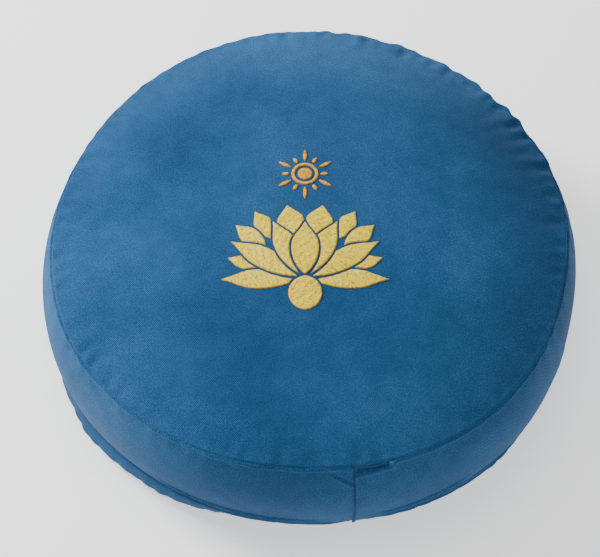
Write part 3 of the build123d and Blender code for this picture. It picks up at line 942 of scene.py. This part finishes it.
class Nodes:
    """A small helper that adds and joins shader nodes of one material."""

    def __init__(self, name):
        self.material = bpy.data.materials.new(name)
        self.material.use_nodes = True
        self.tree = self.material.node_tree
        self.shader = self.tree.nodes["Principled BSDF"]

    def add(self, kind, **settings):
        node = self.tree.nodes.new(kind)
        for key, value in settings.items():
            if key in node.inputs:
                node.inputs[key].default_value = value
            else:
                setattr(node, key, value)
        return node

    def join(self, source, target):
        self.tree.links.new(source, target)

    def set(self, **values):
        for key, value in values.items():
            self.shader.inputs[key.replace("_", " ")].default_value = value

    def cloth_coordinates(self):
        return self.add("ShaderNodeAttribute", attribute_name="weave").outputs["Vector"]

    def object_coordinates(self):
        return self.add("ShaderNodeTexCoord").outputs["Object"]

    def split(self, vector):
        """The three parts of a vector or a colour."""
        node = self.add("ShaderNodeSeparateXYZ")
        self.join(vector, node.inputs[0])
        return node.outputs

    def noise(self, vector, scale, detail=4.0, roughness=0.55):
        node = self.add("ShaderNodeTexNoise", Scale=scale, Detail=detail, Roughness=roughness)
        self.join(vector, node.inputs["Vector"])
        return node.outputs[0]

    def math(self, operation, first, second=None, third=None, clamp=False):
        node = self.add("ShaderNodeMath", operation=operation, use_clamp=clamp)
        for socket, value in zip(node.inputs, (first, second, third)):
            if value is None:
                continue
            if isinstance(value, (int, float)):
                socket.default_value = value
            else:
                self.join(value, socket)
        return node.outputs[0]

    def ramp(self, value, stops):
        node = self.add("ShaderNodeValToRGB")
        elements = node.color_ramp.elements
        while len(elements) < len(stops):
            elements.new(0.5)
        for element, (position, colour) in zip(elements, stops):
            element.position = position
            element.color = (*colour, 1)
        self.join(value, node.inputs["Fac"])
        return node.outputs["Color"]

    def mix(self, share, first, second, blend="MIX"):
        node = self.add("ShaderNodeMix", data_type="RGBA", blend_type=blend)
        for socket, value in zip((node.inputs[0], node.inputs[6], node.inputs[7]), (share, first, second)):
            if isinstance(value, (int, float)):
                socket.default_value = value
            elif isinstance(value, tuple):
                socket.default_value = (*value, 1)
            else:
                self.join(value, socket)
        return node.outputs[2]

    def bump(self, height, strength, distance, under=None):
        node = self.add("ShaderNodeBump", Strength=strength, Distance=distance)
        self.join(height, node.inputs["Height"])
        if under is not None:
            self.join(under, node.inputs["Normal"])
        return node.outputs["Normal"]

    def colour(self, value):
        self.join(value, self.shader.inputs["Base Color"])

    def normal(self, value):
        self.join(value, self.shader.inputs["Normal"])


def twill_height(nodes, weave, pitch):
    """Diagonal ribs of a twill, broken into single yarns, 0 to 1."""
    split = nodes.split(weave)
    wobble = nodes.noise(weave, 190.0, 3.0)
    across = nodes.math("ADD", split[0], nodes.math("MULTIPLY", wobble, 0.0012))
    diagonal = nodes.math("ADD", across, nodes.math("MULTIPLY", split[1], 0.75))
    rib = nodes.math("SINE", nodes.math("MULTIPLY", diagonal, 2 * math.pi / pitch))
    yarn = nodes.math("SINE", nodes.math("MULTIPLY", split[1], 2 * math.pi / (pitch * 0.55)))
    both = nodes.math("MULTIPLY_ADD", yarn, 0.35, rib)
    return nodes.math("MULTIPLY_ADD", both, 0.37, 0.5)


def cloth_material(name, dark, middle, light, pitch=0.0011):
    """Soft cotton twill: ribs, uneven yarns, slubs, broad faded patches and a light nap."""
    nodes = Nodes(name)
    weave = nodes.cloth_coordinates()
    place_in = nodes.object_coordinates()
    patches = nodes.noise(place_in, 9.0, 3.0, 0.5)
    mottle = nodes.noise(weave, 950.0, 2.0, 0.7)
    slub = nodes.noise(weave, 90.0, 4.0, 0.6)
    rib = twill_height(nodes, weave, pitch)
    tone = nodes.math("MULTIPLY", patches, 0.34)
    tone = nodes.math("MULTIPLY_ADD", mottle, 0.44, tone)
    tone = nodes.math("MULTIPLY_ADD", slub, 0.12, tone)
    tone = nodes.math("MULTIPLY_ADD", rib, 0.22, tone)
    nodes.colour(nodes.ramp(tone, [(0.38, dark), (0.56, middle), (0.74, light)]))
    fibre = nodes.noise(weave, 2600.0, 2.0, 0.6)
    under = nodes.bump(fibre, 0.35, 0.00012)
    soft = nodes.bump(slub, 0.30, 0.0006, under)
    nodes.normal(nodes.bump(rib, 0.55, 0.00022, soft))
    nodes.set(Roughness=0.9, Sheen_Weight=0.10, Sheen_Roughness=0.45, Specular_IOR_Level=0.15)
    nodes.shader.inputs["Sheen Tint"].default_value = (0.62, 0.76, 0.95, 1)
    return nodes.material


blue_cloth = cloth_material(
    "blue_twill", (0.003, 0.028, 0.084), (0.010, 0.072, 0.182), (0.045, 0.160, 0.360))


def embroidery_material(name, shade, main, tip, hole_and_edge_shade, row, length):
    """Rows of shiny embroidery thread: rounded rows, stitch ends with small dark holes, fine twist, and
    painted shade along each area's edge.
    """
    nodes = Nodes(name)
    weave = nodes.cloth_coordinates()
    split = nodes.split(weave)
    wander = nodes.noise(weave, 700.0, 2.0)
    across = nodes.math("ADD", split[1], nodes.math("MULTIPLY", wander, 0.00028))
    shifted = nodes.add("ShaderNodeCombineXYZ")
    nodes.join(split[0], shifted.inputs[0])
    nodes.join(across, shifted.inputs[1])
    scaled = nodes.add("ShaderNodeVectorMath", operation="MULTIPLY")
    nodes.join(shifted.outputs[0], scaled.inputs[0])
    scaled.inputs[1].default_value = (1 / length, 1 / row, 0.0)
    cells = nodes.add("ShaderNodeTexVoronoi", Scale=1.0, Randomness=0.8)
    nodes.join(scaled.outputs[0], cells.inputs["Vector"])
    pick = nodes.split(cells.outputs["Color"])
    tones = [(0.06, hole_and_edge_shade), (0.16, shade), (0.34, main), (0.80, main), (0.92, tip)]
    stitch = nodes.ramp(pick[0], tones)
    speck = nodes.noise(weave, 1500.0, 3.0, 0.7)
    fleck = nodes.ramp(speck, [(0.52, (0, 0, 0)), (0.74, (1, 1, 1))])
    tone = nodes.mix(nodes.math("MULTIPLY", fleck, 0.40), stitch, shade)
    broad = nodes.ramp(nodes.noise(weave, 160.0, 2.0), [(0.35, (0.95, 0.92, 0.84)), (0.62, (1, 1, 1))])
    tone = nodes.mix(1.0, tone, broad, "MULTIPLY")
    # Painted shade: the colour darkens towards each stitched area's edge, where the raised thread falls away
    # and where petals overlap.
    painted_edge_shade = nodes.ramp(nodes.math("MULTIPLY", split[2], 1100.0), [(0.0, hole_and_edge_shade), (0.55, (1, 1, 1))])
    nodes.colour(nodes.mix(0.65, tone, painted_edge_shade, "MULTIPLY"))
    round_row = nodes.math("ABSOLUTE", nodes.math("SINE", nodes.math("MULTIPLY", across, math.pi / row)))
    twist = nodes.math("SINE", nodes.math("MULTIPLY", split[0], 2 * math.pi / (row * 0.5)))
    height = nodes.math("MULTIPLY_ADD", twist, 0.12, round_row)
    under = nodes.bump(pick[1], 0.5, 0.00012)
    nodes.normal(nodes.bump(height, 0.7, 0.00018, under))
    nodes.set(Roughness=0.42, Specular_IOR_Level=0.35, Anisotropic=0.5)
    nodes.set(Sheen_Weight=0.30, Sheen_Roughness=0.6)
    nodes.shader.inputs["Sheen Tint"].default_value = (*tip, 1)
    return nodes.material


def thread_material(name, dark, light):
    """Two-ply sewing thread: a helical twist, fuzz and uneven dye."""
    nodes = Nodes(name)
    weave = nodes.object_coordinates()
    twist = nodes.add("ShaderNodeTexWave", wave_type="BANDS", bands_direction="DIAGONAL")
    for socket, value in (("Scale", 420.0), ("Distortion", 1.5), ("Detail", 2.0), ("Detail Scale", 3.0)):
        twist.inputs[socket].default_value = value
    nodes.join(weave, twist.inputs["Vector"])
    fuzz = nodes.noise(weave, 1800.0, 3.0)
    tone = nodes.math("MULTIPLY_ADD", fuzz, 0.5, nodes.math("MULTIPLY", twist.outputs["Fac"], 0.5))
    nodes.colour(nodes.ramp(tone, [(0.3, dark), (0.75, light)]))
    nodes.normal(nodes.bump(twist.outputs["Fac"], 0.6, 0.0002, nodes.bump(fuzz, 0.3, 0.0001)))
    nodes.set(Roughness=0.6, Sheen_Weight=0.3, Specular_IOR_Level=0.35)
    return nodes.material


def plain_weave_material(name, dark, light, pitch, nap, rough=0.9):
    """Plain-woven cloth or tape: over-and-under yarns, slubs and fine fibres, in object space."""
    nodes = Nodes(name)
    vector = nodes.object_coordinates()
    split = nodes.split(vector)
    waves = [
        nodes.math("SINE", nodes.math("MULTIPLY", split[axis], 2 * math.pi / pitch))
        for axis in range(3)
    ]
    woven = nodes.math("MULTIPLY", nodes.math("MULTIPLY", waves[0], waves[1]), 0.6)
    woven = nodes.math("MULTIPLY_ADD", waves[2], 0.4, woven)
    slub = nodes.noise(vector, 140.0, 4.0, 0.65)
    fibre = nodes.noise(vector, 2400.0, 2.0)
    tone = nodes.math("MULTIPLY_ADD", woven, 0.14, nodes.math("MULTIPLY", slub, 0.75))
    tone = nodes.math("MULTIPLY_ADD", fibre, 0.28, tone)
    nodes.colour(nodes.ramp(tone, [(0.30, dark), (0.72, light)]))
    under = nodes.bump(fibre, 0.3, 0.0001)
    nodes.normal(nodes.bump(woven, 0.5, 0.0002, nodes.bump(slub, 0.3, 0.0005, under)))
    nodes.set(Roughness=rough, Sheen_Weight=nap, Specular_IOR_Level=0.2)
    return nodes.material


def felt_material(name, dark, light):
    """Matted fibres of a stabiliser, pressed flat."""
    nodes = Nodes(name)
    vector = nodes.object_coordinates()
    mat = nodes.noise(vector, 900.0, 6.0, 0.75)
    cells = nodes.add("ShaderNodeTexVoronoi", Scale=420.0, feature="DISTANCE_TO_EDGE")
    nodes.join(vector, cells.inputs["Vector"])
    tone = nodes.math("MULTIPLY_ADD", cells.outputs["Distance"], 0.8, nodes.math("MULTIPLY", mat, 0.7))
    nodes.colour(nodes.ramp(tone, [(0.25, dark), (0.7, light)]))
    nodes.normal(nodes.bump(tone, 0.6, 0.0003))
    nodes.set(Roughness=0.95, Sheen_Weight=0.4, Specular_IOR_Level=0.15)
    return nodes.material


def coil_material(name, dark, light):
    """Smooth nylon strand with slight draw lines."""
    nodes = Nodes(name)
    vector = nodes.object_coordinates()
    draw = nodes.noise(vector, 1300.0, 3.0)
    broad = nodes.noise(vector, 60.0, 2.0)
    tone = nodes.math("MULTIPLY_ADD", draw, 0.4, nodes.math("MULTIPLY", broad, 0.6))
    nodes.colour(nodes.ramp(tone, [(0.3, dark), (0.7, light)]))
    nodes.normal(nodes.bump(draw, 0.15, 0.0001))
    nodes.set(Roughness=0.32, Specular_IOR_Level=0.5, Coat_Weight=0.15)
    return nodes.material


def metal_material(name):
    """Die-cast, plated zip metal with wear, brushing and small pits."""
    nodes = Nodes(name)
    vector = nodes.object_coordinates()
    stretched = nodes.add("ShaderNodeMapping")
    stretched.inputs["Scale"].default_value = (1.0, 1.0, 14.0)
    nodes.join(vector, stretched.inputs["Vector"])
    brushed = nodes.noise(stretched.outputs[0], 500.0, 5.0, 0.7)
    pits = nodes.noise(vector, 2200.0, 3.0)
    wear_marks = nodes.noise(vector, 240.0, 4.0)
    nodes.colour(nodes.ramp(wear_marks, [(0.3, (0.42, 0.42, 0.43)), (0.65, (0.66, 0.66, 0.67))]))
    rough = nodes.math("MULTIPLY_ADD", brushed, 0.25, 0.22)
    nodes.join(rough, nodes.shader.inputs["Roughness"])
    nodes.normal(nodes.bump(brushed, 0.12, 0.00008, nodes.bump(pits, 0.15, 0.00005)))
    nodes.set(Metallic=1.0)
    return nodes.material


def hull_material(name):
    """Loose husks pressed together: curved flakes of several browns."""
    nodes = Nodes(name)
    vector = nodes.object_coordinates()
    flakes = nodes.add("ShaderNodeTexVoronoi", Scale=230.0, Randomness=1.0)
    nodes.join(vector, flakes.inputs["Vector"])
    edges = nodes.add("ShaderNodeTexVoronoi", Scale=230.0, feature="DISTANCE_TO_EDGE")
    nodes.join(vector, edges.inputs["Vector"])
    grain = nodes.noise(vector, 1500.0, 4.0)
    pick = nodes.split(flakes.outputs["Color"])
    tone = nodes.math("MULTIPLY_ADD", grain, 0.3, nodes.math("MULTIPLY", pick[0], 0.75))
    husks = [(0.15, (0.030, 0.016, 0.009)), (0.5, (0.115, 0.058, 0.028)), (0.85, (0.26, 0.15, 0.08))]
    browns = nodes.ramp(tone, husks)
    gap = nodes.math("MULTIPLY", edges.outputs["Distance"], 9.0)
    shadow = nodes.ramp(gap, [(0.0, (0.12, 0.12, 0.12)), (0.6, (1, 1, 1))])
    nodes.colour(nodes.mix(1.0, browns, shadow, "MULTIPLY"))
    nodes.normal(nodes.bump(edges.outputs["Distance"], 0.9, 0.004, nodes.bump(grain, 0.3, 0.0002)))
    nodes.set(Roughness=0.7, Specular_IOR_Level=0.3)
    return nodes.material


gold_thread = embroidery_material(
    "pale_gold_thread", (1.0, 0.52, 0.0), (1.0, 0.80, 0.0), (1.0, 0.96, 0.22), (0.60, 0.24, 0.0),
    row=0.00046, length=0.0012)
amber_thread = embroidery_material(
    "amber_thread", (0.78, 0.28, 0.0), (0.98, 0.42, 0.0), (1.0, 0.78, 0.05), (0.42, 0.15, 0.0),
    row=0.00042, length=0.0030)
blue_thread = thread_material("blue_sewing_thread", (0.010, 0.06, 0.13), (0.05, 0.19, 0.34))
white_thread = thread_material("ecru_sewing_thread", (0.44, 0.40, 0.32), (0.78, 0.73, 0.62))
zip_tape = plain_weave_material("blue_zip_tape", (0.006, 0.04, 0.09), (0.02, 0.10, 0.20), 0.0008, 0.1, 0.75)
zip_nylon = coil_material("blue_zip_nylon", (0.008, 0.05, 0.11), (0.02, 0.11, 0.22))
zip_metal = metal_material("zip_metal")
bag_cloth = plain_weave_material("undyed_cotton", (0.42, 0.36, 0.27), (0.78, 0.72, 0.60), 0.0012, 0.3)
stabiliser = felt_material("stabiliser", (0.55, 0.55, 0.54), (0.85, 0.85, 0.84))
label_cloth = plain_weave_material("label_tape", (0.60, 0.60, 0.58), (0.90, 0.90, 0.88), 0.0005, 0.1, 0.6)
hulls = hull_material("hulls")


def wear(piece, material):
    piece.data.materials.clear()
    piece.data.materials.append(material)


def dress(piece, body, slot, material, *nodes):
    """Put a made piece on its body and in its material, in place of its CAD nodes. The slot argument is not
    used.
    """
    wear(piece, material)
    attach(piece, body)
    if nodes:
        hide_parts(*nodes)
    return piece


cover_top = dress(make_top(), "cushion", "cover_cloth", blue_cloth, "cover_top_panel")
cover_bottom = dress(make_bottom(), "cushion", "cover_cloth", blue_cloth, "cover_bottom_panel")
side_right = dress(make_band_right(), "cushion", "cover_cloth", blue_cloth, "cover_band_right")
side_left = dress(make_band_left(), "cushion", "cover_cloth", blue_cloth, "cover_band_left")
zip_strip = dress(make_zip_strip(), "cushion", "cover_cloth", blue_cloth, "cover_zip_strip")

lotus = make_embroidery("lotus", petals(), True, math.radians(62))
dress(lotus, "cushion", "flower_thread", gold_thread, "lotus_embroidery")
sun = make_embroidery("sun", sun_shapes(), False, math.radians(90))
dress(sun, "cushion", "sun_thread", amber_thread, "sun_embroidery")
dress(make_topstitch(), "cushion", "sewing_thread", blue_thread, "zip_topstitch_thread")
for prefix in ("cover_zip", "inner_zip"):
    for number, side in enumerate(("upper", "lower")):
        node = f"{prefix}_coil_{side}"
        dress(make_coil(f"{node}_wound", node, number * math.pi), "cushion", "zip_coil", zip_nylon, node)

carried = {
    blue_thread: ("top_seam_thread", "bottom_seam_thread", "band_seam_thread"),
    white_thread: ("inner_seam_thread",),
    zip_tape: (
        "cover_zip_tape_upper", "cover_zip_tape_lower", "inner_zip_tape_upper", "inner_zip_tape_lower",
    ),
    zip_metal: (
        "cover_zip_top_stop", "cover_zip_bottom_stop", "cover_zip_slider", "cover_zip_pull",
        "inner_zip_top_stop", "inner_zip_bottom_stop", "inner_zip_slider", "inner_zip_pull",
    ),
    bag_cloth: ("inner_top_panel", "inner_bottom_panel", "inner_band"),
    stabiliser: ("embroidery_backing",),
    label_cloth: ("care_label",),
    hulls: ("hull_fill",),
}
for material, names in carried.items():
    for name in names:
        wear(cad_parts[name], material)


# --- Stage --------------------------------------------------------------------------------------

camera_elevation = 58.6
camera_distance = 1.10
camera_lens = 100.4
aim = Vector((0.0, 0.0, 0.050))
aim_right = -0.0062
aim_up = -0.0075
floor_rings = [0.01, 0.5, 1.5, 5.0, 20.0, 60.0]
floor_segments = 96
floor_drop = 0.0002
world_strength = 0.34

# Name, place, size in metres and power in watts.
lights = [
    ("key", (-1.25, 0.68, 0.88), 0.7, 45.0),
    ("left", (-1.50, -0.10, 0.10), 0.5, 4.0),
    ("front", (0.9, -1.6, 0.9), 1.2, 2.0),
    ("top", (-0.15, 0.20, 1.5), 0.9, 7.0),
]


def make_camera():
    back = Vector((0, -math.cos(math.radians(camera_elevation)), math.sin(math.radians(camera_elevation))))
    up = Vector((0, math.sin(math.radians(camera_elevation)), math.cos(math.radians(camera_elevation))))
    centre = aim + Vector((1, 0, 0)) * aim_right + up * aim_up
    data = bpy.data.cameras.new("camera")
    data.lens = camera_lens
    data.sensor_width = 36.0
    camera = add_object("camera", data)
    camera.location = centre + back * camera_distance
    camera.rotation_mode = "QUATERNION"
    camera.rotation_quaternion = back.to_track_quat("Z", "Y")
    bpy.context.scene.camera = camera


def make_floor():
    """A round flat white floor, far wider than the cushion and just below it."""
    profile = np.array([[radius, -floor_drop] for radius in floor_rings])
    grid = spun(profile, floor_segments)
    faces = [*quads_around(len(floor_rings), floor_segments), np.arange(floor_segments)]
    floor = make_piece("floor", grid.reshape(-1, 3), faces)
    nodes = Nodes("floor_white")
    speck = nodes.noise(nodes.object_coordinates(), 300.0, 2.0)
    nodes.colour(nodes.ramp(speck, [(0.0, (0.90, 0.90, 0.90)), (1.0, (0.94, 0.94, 0.94))]))
    nodes.set(Roughness=1.0, Specular_IOR_Level=0.0, Emission_Strength=0.80)
    nodes.shader.inputs["Emission Color"].default_value = (1, 1, 1, 1)
    wear(floor, nodes.material)


def make_lights():
    world = bpy.data.worlds.new("studio")
    world.use_nodes = True
    background = world.node_tree.nodes["Background"]
    background.inputs["Color"].default_value = (1, 1, 1, 1)
    background.inputs["Strength"].default_value = world_strength
    bpy.context.scene.world = world
    for name, position, size, power in lights:
        data = bpy.data.lights.new(name, "AREA")
        data.shape = "DISK"
        data.size = size
        data.energy = power
        light = add_object(name, data)
        light.location = position
        light.rotation_mode = "QUATERNION"
        light.rotation_quaternion = (Vector(position) - aim).to_track_quat("Z", "Y")


make_camera()
make_floor()
make_lights()
